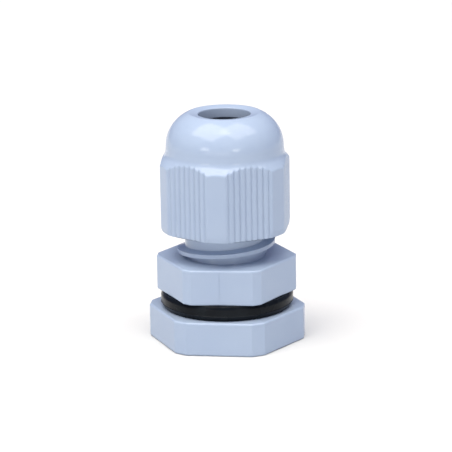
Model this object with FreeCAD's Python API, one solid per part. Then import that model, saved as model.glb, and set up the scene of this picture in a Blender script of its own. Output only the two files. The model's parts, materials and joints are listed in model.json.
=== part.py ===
"""Nylon cable gland with a PG9 entry thread: dome nut, claw, rubber insert, body, washer and lock nut.

Millimetres, +Z up. The origin is on the gland's axis, in the plane of the lock nut's lower face.
Azimuths are in degrees about Z, from -Y (the front) towards +X.
"""

import FreeCAD, Part
import math
import os

# Levels along the axis, with the dome nut screwed on by hand and no cable fitted
LOCK_NUT_HEIGHT = 5.2
WASHER_THICKNESS = 2.4
FLANGE_BOTTOM = LOCK_NUT_HEIGHT + WASHER_THICKNESS
FLANGE_TOP = 13.1
DOME_NUT_BOTTOM = 17.5
SHELF_TOP = 29.2

# Spanner sizes: across flats, and from the axis to the flat that blunts each corner
LOCK_NUT_FLATS = 21.8
LOCK_NUT_CORNER = 11.98
LOCK_NUT_AZIMUTH = -37.1
FLANGE_FLATS = 19.3
FLANGE_CORNER = 10.73
FLANGE_AZIMUTH = -34.8
DOME_NUT_FLATS = 19.0
DOME_NUT_CORNER = 10.13
DOME_NUT_AZIMUTH = -8.0
EDGE_ROUND = 0.3

# Right-hand threads. A groove is mouth_width wide at the crest radius and root_width at the root radius,
# and its middle passes the front at front_level. The entry thread is PG9, 18 turns to the inch, and the
# dome nut's is coarse and square, so that the nut closes the claw in less than two turns.
ENTRY_THREAD = {
    "pitch": 25.4 / 18,
    "crest": 7.6,
    "root": 6.9,
    "mouth_width": 0.85,
    "root_width": 0.4,
    "front_level": 2.0,
}
CAP_THREAD = {
    "pitch": 3.0,
    "crest": 7.55,
    "root": 6.35,
    "mouth_width": 2.4,
    "root_width": 1.7,
    "front_level": 16.26,
}
ENTRY_THREAD_BOTTOM = 0.1
ENTRY_THREAD_TOP = 6.9
ENTRY_RELIEF_RADIUS = 6.8
CAP_THREAD_BOTTOM = 13.7
BODY_TOP = 22.2
NECK_RADIUS = 6.1
NECK_FLARE = 0.4
CAP_NUT_THREAD_TOP = 26.4
THREAD_LEAD_IN = 0.6

# Room between a nut's thread and the thread it runs on
THREAD_GAP_RADIAL = 0.15
THREAD_GAP_AXIAL = 0.12

# How far a cutting shape runs past what it cuts. A thread's cutter runs less far past the crest, so that
# its turns stay apart, and a groove with less volume than this was not cut.
OVERSHOOT = 1.0
THREAD_CUTTER_PROUD = 0.4
NUT_MOUTH_PROUD = 0.05
LEAST_GROOVE_VOLUME = 1.0

# Bores of the body
BODY_BORE = 4.6
CLAW_SEAT_BORE = 5.85
CLAW_SEAT_LEVEL = 18.6
BORE_CHAMFER = 0.6

# Mould parting line on the flange
PARTING_AZIMUTH = -7.0
PARTING_WIDTH = 0.14
PARTING_HEIGHT = 0.05

# Dome of the dome nut: one big arc on a short flared skirt, up to a crown that dips to the cable hole
DOME_RADIUS = 9.04
DOME_ARC = 5.55
DOME_ARC_LEVEL = 30.3
DOME_SKIRT_RADIUS = 9.12
CROWN_RADIUS = 5.45
CABLE_HOLE = 4.0
HOLE_EDGE_LEVEL = 35.26
LIP_UNDERSIDE = 33.7
LIP_CHAMFER = 0.15
SHELF_CORNER_LEVEL = 27.96
GROOVES_PER_FLAT = 8
GROOVE_DEPTH = 0.2
NUT_FOOT_RADIUS = 10.03

# Inner cone that closes the claw
CONE_BOTTOM_RADIUS = 6.57
CONE_TOP_RADIUS = 5.0

# Claw: a ring seated in the body, with fingers that bend at their roots. The rest tilt is inwards.
FINGER_COUNT = 12
FINGER_HALF_ANGLE = 10.5
FINGER_REST_TILT = 4.0
FINGER_INNER = 5.3
FINGER_OUTER = 6.13
FINGER_TIP_RADIUS = 6.3
FINGER_TIP_LEVEL = 29.3
TIP_BEAD_LEVEL = 28.5
TIP_CHAMFER = 0.3
KNUCKLE_RADIUS = 5.68
KNUCKLE_LEVEL = 23.05
KNUCKLE_ROUND = 0.43
KNUCKLE_GAP = 0.05
KNUCKLE_SEAT_WIDTH = 3.2
CLAW_RING_INNER = 4.85
CLAW_RING_OUTER = 5.8
CLAW_COLLAR_OUTER = 6.15
CLAW_RING_TOP = 22.85

# Rubber insert, with a slim neck under the dome nut's lip
INSERT_BORE = 3.6
INSERT_OUTER = 4.75
INSERT_NECK = 4.15
INSERT_BOTTOM = 18.7
INSERT_TAPER_BOTTOM = 28.0
INSERT_TAPER_TOP = 31.2
INSERT_TOP = 33.3
INSERT_CHAMFER = 0.3
INSERT_TOP_CHAMFER = 0.15

# Rubber sealing washer: a flat band between two bevels
WASHER_OUTER = 10.27
WASHER_INNER = 7.7
WASHER_TOP_OUTER = 9.95
WASHER_FOOT_OUTER = 9.8
WASHER_BAND_BOTTOM = 5.95
WASHER_BAND_TOP = 7.1

UP = FreeCAD.Vector(0, 0, 1)
ORIGIN = FreeCAD.Vector(0, 0, 0)
HEXAGON_STEP = 60
HALF_HEXAGON_STEP = 30


def heading(azimuth):
    """The horizontal direction at an azimuth."""
    angle = math.radians(azimuth)
    return FreeCAD.Vector(math.sin(angle), -math.cos(angle), 0)


def sideways(azimuth):
    """The horizontal direction of growing azimuth."""
    angle = math.radians(azimuth)
    return FreeCAD.Vector(math.cos(angle), math.sin(angle), 0)


def section_point(radius, level):
    return FreeCAD.Vector(radius, 0, level)


def turned(edges, angle=360):
    """The solid that a closed section in the XZ plane sweeps about the axis."""
    return Part.Face(Part.Wire(edges)).revolve(ORIGIN, UP, angle)


def turned_outline(outline, angle=360):
    """The same, for a section given as (radius, level) corners."""
    corners = [section_point(*corner) for corner in outline]
    return turned(Part.makePolygon(corners + corners[:1]).Edges, angle)


def hexagon_corners(across_flats, corner_reach, azimuth):
    """The 12 corners of a hexagon with blunted corners, as the two ends of each blunt."""
    half_flats = across_flats / 2
    turn = math.radians(HALF_HEXAGON_STEP)
    half_flat_width = (corner_reach - half_flats * math.cos(turn)) / math.sin(turn)
    corners = []
    for k in range(6):
        for side in (-1, 1):
            flat_azimuth = azimuth + HEXAGON_STEP * k + HALF_HEXAGON_STEP * side
            middle = heading(flat_azimuth) * half_flats
            corners.append(middle - sideways(flat_azimuth) * (half_flat_width * side))
    return corners


def rounded_hexagon(across_flats, corner_reach, azimuth, bottom, top):
    """A hexagonal block with blunted corners and softly rounded edges."""
    corners = hexagon_corners(across_flats, corner_reach, azimuth)
    base = Part.makePolygon(corners + corners[:1])
    base.translate(UP * bottom)
    block = Part.Face(base).extrude(UP * (top - bottom))
    return block.makeFillet(EDGE_ROUND, block.Edges)


def helical_bar(thread, axial_gap, inner, outer, bottom, top):
    """The bar that fills a thread's groove between two radii, thinner by axial_gap on each side."""
    pitch = thread["pitch"]
    slope = (thread["mouth_width"] - thread["root_width"]) / (thread["crest"] - thread["root"])
    # The bar starts a quarter turn past the front, at +X
    start = thread["front_level"] + pitch / 4
    start += math.floor((bottom - start) / pitch) * pitch
    corners = []
    for radius, side in ((inner, -1), (inner, 1), (outer, 1), (outer, -1)):
        half_width = (thread["root_width"] + slope * (radius - thread["root"])) / 2 - axial_gap
        corners.append(section_point(radius, start + side * half_width))
    section = Part.makePolygon(corners + corners[:1])
    path = Part.makeLongHelix(pitch, top - start, inner, 0)
    path.translate(UP * start)
    return Part.Wire(path.Edges).makePipeShell([section], True, True)


def threaded_rod(thread, bottom, top, radial_gap=0, axial_gap=0):
    """A solid rod with the thread on it. With gaps, it is the hollow of a nut that runs on that thread."""
    pitch = thread["pitch"]
    crest = thread["crest"] + radial_gap
    root = thread["root"] + radial_gap
    bar = helical_bar(thread, axial_gap, root, crest + THREAD_CUTTER_PROUD, bottom - pitch, top + pitch)
    rod = Part.makeCylinder(crest, top - bottom, UP * bottom)
    threaded = rod.cut(bar)
    if rod.Volume - threaded.Volume < LEAST_GROOVE_VOLUME:
        raise ValueError("the thread's groove was not cut")
    return threaded


def nut_hollow(thread, bottom, top):
    return threaded_rod(thread, bottom, top, THREAD_GAP_RADIAL, THREAD_GAP_AXIAL)


def thread_mouth(thread, level, way):
    """The cone that opens a nut's thread at the face at level. way is 1 where the nut is above it."""
    mouth = thread["crest"] + THREAD_GAP_RADIAL + NUT_MOUTH_PROUD
    return turned_outline([
        (0, level - way * OVERSHOOT),
        (mouth, level - way * OVERSHOOT),
        (mouth, level),
        (0, level + way * mouth),
    ])


def entry_stem():
    """The hollow entry thread below the flange, with a plain relief under the flange."""
    bottom = ENTRY_THREAD_BOTTOM
    lead_in = THREAD_LEAD_IN + OVERSHOOT
    crest = ENTRY_THREAD["crest"]
    envelope = turned_outline([
        (BODY_BORE + BORE_CHAMFER, bottom),
        (crest - THREAD_LEAD_IN, bottom),
        (crest + OVERSHOOT, bottom + lead_in),
        (crest + OVERSHOOT, ENTRY_THREAD_TOP),
        (BODY_BORE, ENTRY_THREAD_TOP),
        (BODY_BORE, bottom + BORE_CHAMFER),
    ])
    rod = threaded_rod(ENTRY_THREAD, bottom - OVERSHOOT, ENTRY_THREAD_TOP + OVERSHOOT)
    relief = turned_outline([
        (BODY_BORE, ENTRY_THREAD_TOP),
        (ENTRY_RELIEF_RADIUS, ENTRY_THREAD_TOP),
        (ENTRY_RELIEF_RADIUS, FLANGE_BOTTOM + EDGE_ROUND),
        (BODY_BORE, FLANGE_BOTTOM + EDGE_ROUND),
    ])
    return rod.common(envelope).fuse(relief)


def cap_stem():
    """The neck and the dome nut's thread above the flange, with the claw's seat in its end."""
    lead_in = THREAD_LEAD_IN + OVERSHOOT
    crest = CAP_THREAD["crest"]
    envelope = turned_outline([
        (BODY_BORE, CAP_THREAD_BOTTOM),
        (NECK_RADIUS, CAP_THREAD_BOTTOM),
        (crest + OVERSHOOT, CAP_THREAD_BOTTOM + NECK_FLARE),
        (crest + OVERSHOOT, BODY_TOP - lead_in),
        (crest - THREAD_LEAD_IN, BODY_TOP),
        (CLAW_SEAT_BORE, BODY_TOP),
        (CLAW_SEAT_BORE, CLAW_SEAT_LEVEL),
        (BODY_BORE, CLAW_SEAT_LEVEL),
    ])
    rod = threaded_rod(CAP_THREAD, CAP_THREAD_BOTTOM - OVERSHOOT, BODY_TOP + OVERSHOOT)
    neck = turned_outline([
        (BODY_BORE, FLANGE_TOP - EDGE_ROUND),
        (NECK_RADIUS, FLANGE_TOP - EDGE_ROUND),
        (NECK_RADIUS, CAP_THREAD_BOTTOM),
        (BODY_BORE, CAP_THREAD_BOTTOM),
    ])
    return rod.common(envelope).fuse(neck)


def parting_line():
    """The fine raised line that the mould's two halves leave on opposite sides of the flange."""
    off_square = PARTING_AZIMUTH - FLANGE_AZIMUTH - HALF_HEXAGON_STEP
    reach = FLANGE_FLATS / 2 / math.cos(math.radians(off_square)) + PARTING_HEIGHT
    blade = Part.makeBox(PARTING_WIDTH, 2 * reach, FLANGE_TOP - FLANGE_BOTTOM - 2 * EDGE_ROUND)
    blade.translate(FreeCAD.Vector(-PARTING_WIDTH / 2, -reach, FLANGE_BOTTOM + EDGE_ROUND))
    blade.rotate(ORIGIN, UP, PARTING_AZIMUTH)
    return blade


def gland_body():
    """Hexagonal flange with the entry thread below it and the dome nut's thread above it."""
    flange = rounded_hexagon(
        FLANGE_FLATS, FLANGE_CORNER, FLANGE_AZIMUTH, FLANGE_BOTTOM, FLANGE_TOP
    )
    flange = flange.fuse(parting_line())
    flange = flange.cut(Part.makeCylinder(BODY_BORE, FLANGE_TOP, ORIGIN, UP))
    return flange.fuse(entry_stem()).fuse(cap_stem()).removeSplitter()


def lock_nut():
    """Hexagonal nut that clamps the panel from inside."""
    nut = rounded_hexagon(
        LOCK_NUT_FLATS, LOCK_NUT_CORNER, LOCK_NUT_AZIMUTH, 0, LOCK_NUT_HEIGHT
    )
    nut = nut.cut(nut_hollow(ENTRY_THREAD, -OVERSHOOT, LOCK_NUT_HEIGHT + OVERSHOOT))
    for level, way in ((0, 1), (LOCK_NUT_HEIGHT, -1)):
        nut = nut.cut(thread_mouth(ENTRY_THREAD, level, way))
    return nut


def sealing_washer():
    """Flat rubber washer, a band with a bevel above and below it."""
    return turned_outline([
        (WASHER_INNER, LOCK_NUT_HEIGHT),
        (WASHER_FOOT_OUTER, LOCK_NUT_HEIGHT),
        (WASHER_OUTER, WASHER_BAND_BOTTOM),
        (WASHER_OUTER, WASHER_BAND_TOP),
        (WASHER_TOP_OUTER, FLANGE_BOTTOM),
        (WASHER_INNER, FLANGE_BOTTOM),
    ])


def ribbed_outline():
    """The dome nut's hexagon, each flat grooved into round ribs and each blunted corner plain."""
    corners = hexagon_corners(DOME_NUT_FLATS, DOME_NUT_CORNER, DOME_NUT_AZIMUTH)
    edges = []
    for k in range(6):
        start = corners[2 * k + 1]
        end = corners[(2 * k + 2) % len(corners)]
        outward = heading(DOME_NUT_AZIMUTH + HEXAGON_STEP * k + HALF_HEXAGON_STEP)
        step = (end - start) / GROOVES_PER_FLAT
        edges.append(Part.LineSegment(corners[2 * k], start).toShape())
        # Half a rib at each end of the flat and whole ribs between. A rib's round side falls a quarter of
        # the groove's depth in its first half.
        valley = start + step / 2 - outward * GROOVE_DEPTH
        shoulder = start + step / 4 - outward * (GROOVE_DEPTH / 4)
        edges.append(Part.Arc(start, shoulder, valley).toShape())
        for rib in range(1, GROOVES_PER_FLAT):
            following = valley + step
            edges.append(Part.Arc(valley, start + step * rib, following).toShape())
            valley = following
        shoulder = end - step / 4 - outward * (GROOVE_DEPTH / 4)
        edges.append(Part.Arc(valley, shoulder, end).toShape())
    return Part.Wire(edges)


def dome_outside():
    """The solid of revolution that shapes the dome nut from outside."""
    arc_centre = DOME_RADIUS - DOME_ARC
    crown_angle = math.acos((CROWN_RADIUS - arc_centre) / DOME_ARC)

    def on_dome(angle):
        return section_point(
            arc_centre + DOME_ARC * math.cos(angle), DOME_ARC_LEVEL + DOME_ARC * math.sin(angle)
        )

    slope = (SHELF_TOP - SHELF_CORNER_LEVEL) / (DOME_NUT_CORNER - DOME_SKIRT_RADIUS)
    widest = DOME_NUT_CORNER + OVERSHOOT
    points = [
        on_dome(crown_angle),
        section_point(CABLE_HOLE, HOLE_EDGE_LEVEL),
        section_point(CABLE_HOLE, DOME_NUT_BOTTOM),
        section_point(NUT_FOOT_RADIUS, DOME_NUT_BOTTOM),
        section_point(widest, DOME_NUT_BOTTOM + widest - NUT_FOOT_RADIUS),
        section_point(widest, SHELF_CORNER_LEVEL - slope * OVERSHOOT),
        section_point(DOME_SKIRT_RADIUS, SHELF_TOP),
        on_dome(0),
    ]
    edges = [Part.LineSegment(a, b).toShape() for a, b in zip(points, points[1:])]
    edges.append(Part.Arc(on_dome(0), on_dome(crown_angle / 2), on_dome(crown_angle)).toShape())
    return turned(edges)


def dome_nut():
    """Ribbed hexagonal nut with a domed top, a cable hole, a thread and the cone that closes the claw."""
    ribbed = ribbed_outline()
    ribbed.translate(UP * DOME_NUT_BOTTOM)
    above = DOME_ARC_LEVEL + DOME_ARC + OVERSHOOT
    hexagon = Part.Face(ribbed).extrude(UP * (above - DOME_NUT_BOTTOM))
    nut = hexagon.common(dome_outside())
    nut = nut.cut(nut_hollow(CAP_THREAD, DOME_NUT_BOTTOM - OVERSHOOT, CAP_NUT_THREAD_TOP))
    nut = nut.cut(thread_mouth(CAP_THREAD, DOME_NUT_BOTTOM, 1))
    return nut.cut(turned_outline([
        (0, CAP_NUT_THREAD_TOP),
        (CONE_BOTTOM_RADIUS, CAP_NUT_THREAD_TOP),
        (CONE_TOP_RADIUS, LIP_UNDERSIDE),
        (CABLE_HOLE + LIP_CHAMFER, LIP_UNDERSIDE),
        (CABLE_HOLE, LIP_UNDERSIDE + LIP_CHAMFER),
        (CABLE_HOLE, above),
        (0, above),
    ]))


def finger_azimuth(number):
    return 360 / FINGER_COUNT * number


def knuckle(azimuth, radius, length):
    """A round bar along a finger's bending line."""
    centre = heading(azimuth) * KNUCKLE_RADIUS + UP * KNUCKLE_LEVEL
    along = sideways(azimuth)
    return Part.makeCylinder(radius, length, centre - along * (length / 2), along)


def claw_ring():
    """The ring that holds the fingers: a sleeve in the body's seat and a collar on the body's end."""
    ring = turned_outline([
        (CLAW_RING_INNER, CLAW_SEAT_LEVEL),
        (CLAW_RING_OUTER, CLAW_SEAT_LEVEL),
        (CLAW_RING_OUTER, BODY_TOP),
        (CLAW_COLLAR_OUTER, BODY_TOP),
        (CLAW_COLLAR_OUTER, CLAW_RING_TOP),
        (CLAW_RING_INNER, CLAW_RING_TOP),
    ])
    for number in range(FINGER_COUNT):
        seat = knuckle(finger_azimuth(number), KNUCKLE_ROUND + KNUCKLE_GAP, KNUCKLE_SEAT_WIDTH)
        ring = ring.cut(seat)
    return ring


def claw_finger(number):
    """One finger of the claw, a slice of a slotted sleeve with a round root and a beaded tip."""
    blade = turned_outline([
        (FINGER_INNER, KNUCKLE_LEVEL),
        (FINGER_OUTER, KNUCKLE_LEVEL),
        (FINGER_OUTER, TIP_BEAD_LEVEL - TIP_CHAMFER),
        (FINGER_TIP_RADIUS, TIP_BEAD_LEVEL),
        (FINGER_TIP_RADIUS, FINGER_TIP_LEVEL - TIP_CHAMFER),
        (FINGER_TIP_RADIUS - TIP_CHAMFER, FINGER_TIP_LEVEL),
        (FINGER_INNER + TIP_CHAMFER / 2, FINGER_TIP_LEVEL),
        (FINGER_INNER, FINGER_TIP_LEVEL - TIP_CHAMFER / 2),
    ], 2 * FINGER_HALF_ANGLE)
    blade.rotate(ORIGIN, UP, -90 - FINGER_HALF_ANGLE)
    root_width = 2 * FINGER_INNER * math.sin(math.radians(FINGER_HALF_ANGLE))
    finger = blade.fuse(knuckle(0, KNUCKLE_ROUND, root_width)).removeSplitter()
    bending_point = heading(0) * KNUCKLE_RADIUS + UP * KNUCKLE_LEVEL
    finger.rotate(bending_point, sideways(0) * -1, FINGER_REST_TILT)
    finger.rotate(ORIGIN, UP, finger_azimuth(number))
    return finger


def sealing_insert():
    """Rubber sleeve that the claw squeezes onto the cable."""
    return turned_outline([
        (INSERT_BORE + INSERT_CHAMFER, INSERT_BOTTOM),
        (INSERT_OUTER - INSERT_CHAMFER, INSERT_BOTTOM),
        (INSERT_OUTER, INSERT_BOTTOM + INSERT_CHAMFER),
        (INSERT_OUTER, INSERT_TAPER_BOTTOM),
        (INSERT_NECK, INSERT_TAPER_TOP),
        (INSERT_NECK, INSERT_TOP - INSERT_TOP_CHAMFER),
        (INSERT_NECK - INSERT_TOP_CHAMFER, INSERT_TOP),
        (INSERT_BORE + INSERT_TOP_CHAMFER, INSERT_TOP),
        (INSERT_BORE, INSERT_TOP - INSERT_TOP_CHAMFER),
        (INSERT_BORE, INSERT_BOTTOM + INSERT_CHAMFER),
    ])


def main():
    os.makedirs("parts", exist_ok=True)
    nodes = {
        "lock_nut": lock_nut(),
        "sealing_washer": sealing_washer(),
        "gland_body": gland_body(),
        "claw_ring": claw_ring(),
        "sealing_insert": sealing_insert(),
        "dome_nut": dome_nut(),
    }
    for number in range(FINGER_COUNT):
        nodes[f"claw_finger_{number + 1:02d}"] = claw_finger(number)
    for name, shape in nodes.items():
        if not shape.isValid() or len(shape.Solids) != 1:
            raise ValueError(f"{name} is not one valid solid")
        shape.Solids[0].exportStep(f"parts/{name}.step")
        print(f"{name}: {shape.Volume:.1f} mm3")


main()
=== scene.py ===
import json
import math

import bmesh
import bpy
from mathutils import Matrix, Vector


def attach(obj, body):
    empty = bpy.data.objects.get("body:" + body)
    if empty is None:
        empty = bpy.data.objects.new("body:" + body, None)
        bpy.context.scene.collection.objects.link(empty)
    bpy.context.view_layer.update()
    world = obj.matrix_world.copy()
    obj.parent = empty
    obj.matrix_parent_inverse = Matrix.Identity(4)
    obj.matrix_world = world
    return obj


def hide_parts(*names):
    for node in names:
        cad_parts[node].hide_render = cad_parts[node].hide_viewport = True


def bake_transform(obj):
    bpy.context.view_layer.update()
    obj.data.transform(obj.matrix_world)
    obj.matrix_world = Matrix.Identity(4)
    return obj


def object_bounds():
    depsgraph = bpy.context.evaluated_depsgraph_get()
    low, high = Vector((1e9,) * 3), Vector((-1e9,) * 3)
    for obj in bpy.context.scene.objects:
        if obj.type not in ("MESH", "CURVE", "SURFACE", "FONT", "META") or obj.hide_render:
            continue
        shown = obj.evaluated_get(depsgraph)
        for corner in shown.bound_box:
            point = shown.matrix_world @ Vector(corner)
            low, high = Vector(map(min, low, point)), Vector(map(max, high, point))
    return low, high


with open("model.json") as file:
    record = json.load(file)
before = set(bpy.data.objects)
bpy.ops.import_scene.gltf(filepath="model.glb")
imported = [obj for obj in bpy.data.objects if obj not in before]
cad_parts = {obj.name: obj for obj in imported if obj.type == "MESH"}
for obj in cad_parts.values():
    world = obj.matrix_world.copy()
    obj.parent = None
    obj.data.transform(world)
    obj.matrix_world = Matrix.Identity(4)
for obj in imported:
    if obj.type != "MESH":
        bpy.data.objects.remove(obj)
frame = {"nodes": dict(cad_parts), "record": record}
cad_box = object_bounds()

MM = 0.001


# ---------------------------------------------------------------- camera, floor and light

# Metres and radians, and millimetres for the lens and the sensor
CAMERA_DISTANCE = 0.3783
CAMERA_HEIGHT = 0.1202
CAMERA_PITCH = 0.265
CAMERA_ROLL = -0.016
CAMERA_LENS = 203.2
SENSOR_WIDTH = 36.0
NEAREST_SEEN = 0.01
FARTHEST_SEEN = 20

FLOOR_REACH = 3.0
# The floor lies a hair below the lock nut, so that the two faces never coincide
FLOOR_DROP = 0.00002
FLOOR_COLOUR = (0.68, 0.69, 0.68)
FLOOR_ROUGHNESS = 0.9
FLOOR_SPECULAR = 0.2

WARM = (1.0, 0.95, 0.86)
SKY = (0.52, 0.57, 1.0)
SKY_STRENGTH = 0.34
# name, azimuth, elevation, distance, width, height, power
LIGHTS = (
    ("lamp_left", -39, 15, 0.60, 0.15, 0.09, 0.36),
    ("lamp_right", 22, 13, 0.60, 0.14, 0.09, 0.30),
    ("front", -14, 2, 1.20, 1.00, 0.30, 2.2),
    ("top_left", -60, 66, 1.60, 1.50, 1.30, 32.0),
    ("top_right", 61, 68, 1.60, 1.40, 1.20, 21.0),
)


def direction(azimuth, elevation):
    """The unit vector at an azimuth from the front towards +X, and an elevation, in degrees."""
    turn = math.radians(azimuth)
    rise = math.radians(elevation)
    return Vector((
        math.sin(turn) * math.cos(rise), -math.cos(turn) * math.cos(rise), math.sin(rise)
    ))


def add_camera():
    data = bpy.data.cameras.new("camera")
    data.lens = CAMERA_LENS
    data.sensor_width = SENSOR_WIDTH
    data.clip_start = NEAREST_SEEN
    data.clip_end = FARTHEST_SEEN
    camera = bpy.data.objects.new("camera", data)
    bpy.context.scene.collection.objects.link(camera)
    place = Matrix.Translation((0, -CAMERA_DISTANCE, CAMERA_HEIGHT))
    tilt = Matrix.Rotation(math.pi / 2 - CAMERA_PITCH, 4, "X")
    roll = Matrix.Rotation(CAMERA_ROLL, 4, "Z")
    camera.matrix_world = place @ tilt @ roll
    bpy.context.scene.camera = camera


def add_softbox(name, azimuth, elevation, distance, width, height, power):
    """A rectangular light that faces the middle of the gland."""
    data = bpy.data.lights.new(name, "AREA")
    data.shape = "RECTANGLE"
    data.size = width
    data.size_y = height
    data.energy = power
    data.color = WARM
    light = bpy.data.objects.new(name, data)
    bpy.context.scene.collection.objects.link(light)
    middle = (Vector(cad_box[0]) + Vector(cad_box[1])) / 2
    way = direction(azimuth, elevation)
    light.location = middle + way * distance
    light.rotation_euler = way.to_track_quat("Z", "Y").to_euler()


def add_lights():
    world = bpy.data.worlds.new("studio")
    world.use_nodes = True
    background = world.node_tree.nodes["Background"]
    background.inputs["Color"].default_value = (*SKY, 1)
    background.inputs["Strength"].default_value = SKY_STRENGTH
    bpy.context.scene.world = world
    for light in LIGHTS:
        add_softbox(*light)


def add_floor():
    mesh = bpy.data.meshes.new("floor")
    corners = [
        (-FLOOR_REACH, -FLOOR_REACH, 0), (FLOOR_REACH, -FLOOR_REACH, 0),
        (FLOOR_REACH, FLOOR_REACH, 0), (-FLOOR_REACH, FLOOR_REACH, 0),
    ]
    mesh.from_pydata(corners, [], [(0, 1, 2, 3)])
    floor = bpy.data.objects.new("floor", mesh)
    bpy.context.scene.collection.objects.link(floor)
    floor.location.z = -FLOOR_DROP
    material = bpy.data.materials.new("floor")
    material.use_nodes = True
    shader = material.node_tree.nodes["Principled BSDF"]
    shader.inputs["Base Color"].default_value = (*FLOOR_COLOUR, 1)
    shader.inputs["Roughness"].default_value = FLOOR_ROUGHNESS
    shader.inputs["Specular IOR Level"].default_value = FLOOR_SPECULAR
    mesh.materials.append(material)


# ---------------------------------------------------------------- materials


# The stretch of the noise over which one colour or roughness turns into the other
NOISE_LOW = 0.3
NOISE_HIGH = 0.7

# Noise scales and details for the colour and the gloss, the skin's bump, and the reflection
NYLON = {
    "colour_noise": (220, 3),
    "gloss_noise": (900, 3),
    "skin_noise": (300, 2),
    "skin_strength": 0.12,
    "skin_depth": 0.00006,
    "ior": 1.5,
    "specular": 0.3,
}
RUBBER = {
    "colour_noise": (300, 2),
    "gloss_noise": (400, 2),
    "skin_noise": (900, 2),
    "skin_strength": 0.12,
    "skin_depth": 0.00004,
    "ior": 1.45,
    "specular": 0.13,
}
# slot, kind of material, first colour, second colour, lowest roughness, highest roughness
SLOTS = (
    ("nylon", NYLON, (0.33, 0.41, 0.54), (0.345, 0.425, 0.55), 0.12, 0.17),
    ("claw_nylon", NYLON, (0.32, 0.39, 0.51), (0.34, 0.41, 0.53), 0.36, 0.48),
    ("rubber", RUBBER, (0.003, 0.004, 0.006), (0.007, 0.010, 0.013), 0.22, 0.32),
)


class Nodes:
    """A material's node tree, with short calls for adding nodes and links."""

    def __init__(self, name):
        self.material = bpy.data.materials.new(name)
        self.material.use_nodes = True
        self.tree = self.material.node_tree
        self.shader = self.tree.nodes["Principled BSDF"]
        self.place = self.add("ShaderNodeTexCoord").outputs["Object"]

    def add(self, kind):
        return self.tree.nodes.new(kind)

    def link(self, source, target):
        self.tree.links.new(source, target)

    def noise(self, scale, detail):
        node = self.add("ShaderNodeTexNoise")
        node.inputs["Scale"].default_value = scale
        node.inputs["Detail"].default_value = detail
        self.link(self.place, node.inputs["Vector"])
        return node.outputs["Fac"]

    def values(self, noise, first, last):
        """The noise as a value between first and last."""
        node = self.add("ShaderNodeMapRange")
        node.inputs["From Min"].default_value = NOISE_LOW
        node.inputs["From Max"].default_value = NOISE_HIGH
        node.inputs["To Min"].default_value = first
        node.inputs["To Max"].default_value = last
        self.link(noise, node.inputs["Value"])
        return node.outputs["Result"]

    def colours(self, noise, first, last):
        """The noise as a colour between first and last."""
        node = self.add("ShaderNodeValToRGB")
        start, end = node.color_ramp.elements
        start.position = NOISE_LOW
        start.color = (*first, 1)
        end.position = NOISE_HIGH
        end.color = (*last, 1)
        self.link(noise, node.inputs["Fac"])
        return node.outputs["Color"]

    def bump(self, noise, strength, distance):
        node = self.add("ShaderNodeBump")
        node.inputs["Strength"].default_value = strength
        node.inputs["Distance"].default_value = distance
        self.link(noise, node.inputs["Height"])
        return node.outputs["Normal"]


def moulded(name, kind, first, last, rough_low, rough_high):
    """A moulded plastic or rubber: slightly uneven in colour and gloss, with a faintly wavy skin."""
    n = Nodes(name)
    colour = n.colours(n.noise(*kind["colour_noise"]), first, last)
    roughness = n.values(n.noise(*kind["gloss_noise"]), rough_low, rough_high)
    normal = n.bump(n.noise(*kind["skin_noise"]), kind["skin_strength"], kind["skin_depth"])
    n.link(colour, n.shader.inputs["Base Color"])
    n.link(roughness, n.shader.inputs["Roughness"])
    n.link(normal, n.shader.inputs["Normal"])
    n.shader.inputs["IOR"].default_value = kind["ior"]
    n.shader.inputs["Specular IOR Level"].default_value = kind["specular"]
    return n.material


# ---------------------------------------------------------------- turned pieces with soft edges

# How much of a side a rounded corner may take at most
CUT_SHARE = 0.45


def rounded(points, cuts, steps=5):
    """A closed section of (radius, level) corners, each rounded off over its cut length."""
    outline = []
    count = len(points)
    for k in range(count):
        corner = Vector(points[k])
        before = Vector(points[k - 1]) - corner
        after = Vector(points[(k + 1) % count]) - corner
        cut = min(cuts[k], CUT_SHARE * before.length, CUT_SHARE * after.length)
        if cut <= 0:
            outline.append(tuple(corner))
            continue
        start = corner + before.normalized() * cut
        end = corner + after.normalized() * cut
        for i in range(steps + 1):
            t = i / steps
            outline.append(tuple(start * (1 - t) ** 2 + corner * 2 * t * (1 - t) + end * t ** 2))
    return outline


def divided(outline, step):
    """The same outline with its long stretches cut into steps."""
    points = []
    for start, end in zip(outline, outline[1:]):
        start = Vector(start)
        end = Vector(end)
        pieces = max(1, round((end - start).length / step))
        points += [tuple(start.lerp(end, i / pieces)) for i in range(pieces)]
    return points


def swept_piece(name, rows, radius_at, azimuths):
    """A closed ring of rows about the axis. radius_at(row, azimuth) gives each point's radius in mm."""
    vertices = []
    for row in rows:
        for k in range(azimuths):
            azimuth = 360 * k / azimuths
            turn = math.radians(azimuth)
            radius = radius_at(row, azimuth)
            vertices.append((
                math.sin(turn) * radius * MM, -math.cos(turn) * radius * MM, row[1] * MM
            ))
    faces = []
    for i in range(len(rows)):
        below = i * azimuths
        above = (i + 1) % len(rows) * azimuths
        for k in range(azimuths):
            following = (k + 1) % azimuths
            faces.append((below + k, below + following, above + following, above + k))
    mesh = bpy.data.meshes.new(name)
    mesh.from_pydata(vertices, [], faces)
    mesh.validate()
    shape = bmesh.new()
    shape.from_mesh(mesh)
    bmesh.ops.recalc_face_normals(shape, faces=shape.faces)
    shape.to_mesh(mesh)
    shape.free()
    for polygon in mesh.polygons:
        polygon.use_smooth = True
    piece = bpy.data.objects.new(name, mesh)
    bpy.context.scene.collection.objects.link(piece)
    return piece


def turned_piece(name, rows, azimuths):
    return swept_piece(name, rows, lambda row, azimuth: row[0], azimuths)


def soft_min(a, b, width):
    """The smaller of two radii, with the crossing rounded over width."""
    blend = max(width - abs(a - b), 0) / width
    return min(a, b) - blend * blend * width / 4


# ---------------------------------------------------------------- dome nut

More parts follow.
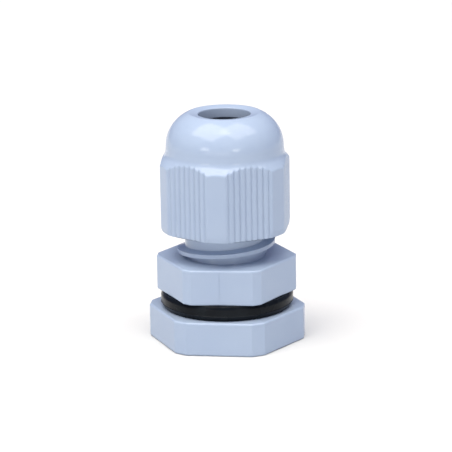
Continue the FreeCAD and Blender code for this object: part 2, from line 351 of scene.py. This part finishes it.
# Radii and levels in mm, angles in degrees
NUT_AZIMUTHS = 720
NUT_BOTTOM = 17.5
NUT_FLATS = 19.0
NUT_CORNER = 10.13
NUT_CORNER_SOFT = 0.12
NUT_AZIMUTH = -8.0
NUT_FOOT = 10.03
NUT_FOOT_ROUND = 0.12
EDGE_SOFT = 0.14
GROOVES_PER_FLAT = 8
GROOVE_DEPTH = 0.24
# The higher the power, the narrower the grooves between the ribs
GROOVE_POWER = 3
# How far outside the hexagon's corners the foot's chamfer and the plain wall are drawn
CHAMFER_CLEARANCE = 0.3
WALL_CLEARANCE = 0.6
WALL_START = 1.2
SHELF_CORNER = 27.96
SHELF_TOP = 29.2
SKIRT_RADIUS = 9.12
SKIRT_SOFT = 0.9
DOME_RADIUS = 9.04
DOME_ARC = 5.55
DOME_ARC_LEVEL = 30.3
CROWN_RADIUS = 5.45
CROWN_SOFT = 0.5
CABLE_HOLE = 4.0
HOLE_EDGE_LEVEL = 35.26
HOLE_EDGE_SOFT = 0.22
LIP_UNDERSIDE = 33.7
LIP_CHAMFER = 0.15
CONE_TOP = 5.0
CONE_TOP_SOFT = 0.2
CONE_BOTTOM = 6.57
CONE_BOTTOM_SOFT = 0.1
THREAD_TOP = 26.4
THREAD_PITCH = 3.0
THREAD_FRONT_LEVEL = 16.26
THREAD_MOUTH = 7.75
# Half widths and radii of the ridge inside the nut, at its crest and at its foot
RIDGE_CREST = (0.77, 6.5)
RIDGE_FOOT = (1.12, 7.7)

UNDERSIDE_STEPS = 12
FOOT_STEPS = 8
SKIRT_STEPS = 10
DOME_STEPS = 40
HOLE_STEPS = 7
THREAD_STEPS = 90
WALL_STEP = 0.8
SHELF_STEP = 0.07


def hexagon_radius(azimuth):
    """The ribbed hexagon's radius at an azimuth."""
    half_flats = NUT_FLATS / 2
    turn = (azimuth - NUT_AZIMUTH) % 60
    off_flat = math.radians(turn - 30)
    off_corner = math.radians(min(turn, 60 - turn))
    half_width = (NUT_CORNER - half_flats * math.cos(math.pi / 6)) / math.sin(math.pi / 6)
    along = half_flats * math.tan(off_flat) / half_width
    depth = 0
    if abs(along) < 1:
        ribs = (along + 1) / 2 * GROOVES_PER_FLAT
        off_crest = 2 * abs(ribs - round(ribs))
        depth = GROOVE_DEPTH * off_crest ** GROOVE_POWER
    flat = (half_flats - depth) / math.cos(off_flat)
    return soft_min(flat, NUT_CORNER / math.cos(off_corner), NUT_CORNER_SOFT)


def ridge_radius(azimuth, level):
    """The nut's thread, from inside."""
    turns = (level - THREAD_FRONT_LEVEL) / THREAD_PITCH - azimuth / 360
    off_ridge = abs(turns - round(turns)) * THREAD_PITCH
    slope = (off_ridge - RIDGE_CREST[0]) / (RIDGE_FOOT[0] - RIDGE_CREST[0])
    slope = min(max(slope, 0), 1)
    thread = RIDGE_CREST[1] + slope * (RIDGE_FOOT[1] - RIDGE_CREST[1])
    return max(thread, THREAD_MOUTH - (level - NUT_BOTTOM))


def foot_rows():
    """The underside, its rounded edge, and the chamfer that blunts the corners' feet.

    A row is (radius, level, zone, inset), and the inset draws the hexagon in.
    """
    ring = NUT_FOOT - NUT_FOOT_ROUND - THREAD_MOUTH
    rows = [
        (THREAD_MOUTH + ring * i / UNDERSIDE_STEPS, NUT_BOTTOM, "outside", 0)
        for i in range(UNDERSIDE_STEPS)
    ]
    for i in range(FOOT_STEPS + 1):
        angle = math.pi / 2 * i / FOOT_STEPS
        inset = NUT_FOOT_ROUND * (1 - math.sin(angle))
        level = NUT_BOTTOM + NUT_FOOT_ROUND * (1 - math.cos(angle))
        rows.append((NUT_FOOT - inset, level, "outside", inset))
    chamfer = NUT_CORNER + CHAMFER_CLEARANCE
    rows.append((chamfer, NUT_BOTTOM + NUT_FOOT_ROUND + chamfer - NUT_FOOT, "outside", 0))
    return rows


def shelf_rows():
    """The wall, the shelf that the hexagon cuts into scallops, and the skirt below the dome."""
    wall = NUT_CORNER + WALL_CLEARANCE
    slope = (SHELF_TOP - SHELF_CORNER) / (NUT_CORNER - SKIRT_RADIUS)
    wall_top = SHELF_CORNER - slope * WALL_CLEARANCE
    outline = divided([(wall, NUT_BOTTOM + WALL_START), (wall, wall_top)], WALL_STEP)
    shelf = [(wall, wall_top), (SKIRT_RADIUS, SHELF_TOP), (DOME_RADIUS, DOME_ARC_LEVEL)]
    outline += divided(rounded(shelf, [0, SKIRT_SOFT, 0], SKIRT_STEPS), SHELF_STEP)
    return [(radius, level, "outside", 0) for radius, level in outline]


def dome_point(angle):
    """The radius and level on the dome's arc, at an angle up from its widest point."""
    arc_centre = DOME_RADIUS - DOME_ARC
    return arc_centre + DOME_ARC * math.cos(angle), DOME_ARC_LEVEL + DOME_ARC * math.sin(angle)


def dome_rows():
    """The dome, the dip to the cable hole, the lip and the cone that closes the claw."""
    crown = math.acos((CROWN_RADIUS - DOME_RADIUS + DOME_ARC) / DOME_ARC)
    arc_end = crown - CROWN_SOFT / DOME_ARC
    rows = [(*dome_point(arc_end * i / DOME_STEPS), "outside", 0) for i in range(DOME_STEPS)]
    hole = rounded([
        dome_point(arc_end), dome_point(crown), (CABLE_HOLE, HOLE_EDGE_LEVEL),
        (CABLE_HOLE, LIP_UNDERSIDE), (CONE_TOP, LIP_UNDERSIDE), (CONE_BOTTOM, THREAD_TOP),
        (RIDGE_CREST[1], THREAD_TOP),
    ], [0, CROWN_SOFT, HOLE_EDGE_SOFT, LIP_CHAMFER, CONE_TOP_SOFT, CONE_BOTTOM_SOFT, 0], HOLE_STEPS)
    return rows + [(radius, level, "inside", 0) for radius, level in hole[:-1]]


def thread_rows():
    """The thread, down to the underside. Its radius comes from ridge_radius."""
    height = THREAD_TOP - NUT_BOTTOM
    return [
        (0, THREAD_TOP - height * i / THREAD_STEPS, "thread", 0) for i in range(THREAD_STEPS)
    ]


def nut_radius(row, azimuth):
    radius, level, zone, inset = row
    if zone == "thread":
        return ridge_radius(azimuth, level)
    if zone == "inside":
        return radius
    return soft_min(radius, hexagon_radius(azimuth) - inset, EDGE_SOFT)


def dome_nut():
    """The ribbed hexagon runs up into a domed cap, whose soft edges meet it in scallops."""
    rows = foot_rows() + shelf_rows() + dome_rows() + thread_rows()
    return swept_piece("dome_nut_cap", rows, nut_radius, NUT_AZIMUTHS)


# ---------------------------------------------------------------- rubber pieces

WASHER_AZIMUTHS = 240
WASHER_BORE = 7.7
WASHER_BOTTOM = 5.2
WASHER_TOP = 7.6
WASHER_BOTTOM_EDGE = 9.8
WASHER_TOP_EDGE = 9.95
WASHER_BAND = 10.2
WASHER_SHOULDER = 10.22
WASHER_SHOULDER_LEVEL = 7.08
WASHER_BORE_SOFT = 0.15
WASHER_EDGE_SOFT = 0.12
WASHER_SHOULDER_SOFT = 0.16
MOULD_LINE = 10.27
MOULD_LINE_LEVEL = 6.0
MOULD_LINE_HALF = 0.07
MOULD_LINE_SOFT = 0.05

INSERT_AZIMUTHS = 180
INSERT_BORE = 3.6
INSERT_BODY = 4.75
INSERT_NECK = 4.15
INSERT_BOTTOM = 18.7
INSERT_BODY_TOP = 28.0
INSERT_NECK_START = 31.2
INSERT_TOP = 33.3
INSERT_FOOT_SOFT = 0.25
INSERT_WAIST_SOFT = 0.8
INSERT_TOP_SOFT = 0.16
INSERT_STEP = 0.5


def washer():
    """Flat rubber washer, a band with a bevel above and below it and a fine mould line round it."""
    section = [
        (WASHER_BORE, WASHER_BOTTOM), (WASHER_BOTTOM_EDGE, WASHER_BOTTOM),
        (WASHER_BAND, MOULD_LINE_LEVEL - MOULD_LINE_HALF), (MOULD_LINE, MOULD_LINE_LEVEL),
        (WASHER_BAND, MOULD_LINE_LEVEL + MOULD_LINE_HALF), (WASHER_SHOULDER, WASHER_SHOULDER_LEVEL),
        (WASHER_TOP_EDGE, WASHER_TOP), (WASHER_BORE, WASHER_TOP),
    ]
    cuts = [
        WASHER_BORE_SOFT, WASHER_EDGE_SOFT, MOULD_LINE_SOFT, MOULD_LINE_SOFT,
        MOULD_LINE_SOFT, WASHER_SHOULDER_SOFT, WASHER_EDGE_SOFT, WASHER_BORE_SOFT,
    ]
    return turned_piece("washer", rounded(section, cuts), WASHER_AZIMUTHS)


def insert():
    """Rubber sleeve with a slim neck under the dome nut's lip."""
    section = [
        (INSERT_BORE, INSERT_BOTTOM), (INSERT_BODY, INSERT_BOTTOM), (INSERT_BODY, INSERT_BODY_TOP),
        (INSERT_NECK, INSERT_NECK_START), (INSERT_NECK, INSERT_TOP), (INSERT_BORE, INSERT_TOP),
    ]
    cuts = [
        INSERT_FOOT_SOFT, INSERT_FOOT_SOFT, INSERT_WAIST_SOFT, INSERT_WAIST_SOFT,
        INSERT_TOP_SOFT, INSERT_TOP_SOFT,
    ]
    outline = rounded(section, cuts)
    return turned_piece("insert", divided(outline + outline[:1], INSERT_STEP), INSERT_AZIMUTHS)


# ---------------------------------------------------------------- scene

add_camera()
add_lights()
add_floor()
materials = {slot: moulded(slot, *looks) for slot, *looks in SLOTS}
for part in frame["record"]["subparts"]:
    node = frame["nodes"][part["node"]]
    node.data.materials.clear()
    node.data.materials.append(materials[part["material_slot"]])

cap = dome_nut()
cap.data.materials.append(materials["nylon"])
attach(cap, "dome_nut")
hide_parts("dome_nut")
ring = washer()
ring.data.materials.append(materials["rubber"])
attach(ring, "sealing_washer")
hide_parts("sealing_washer")
sleeve = insert()
sleeve.data.materials.append(materials["rubber"])
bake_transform(sleeve)
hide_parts("sealing_insert")

bpy.context.scene.view_settings.view_transform = "Standard"
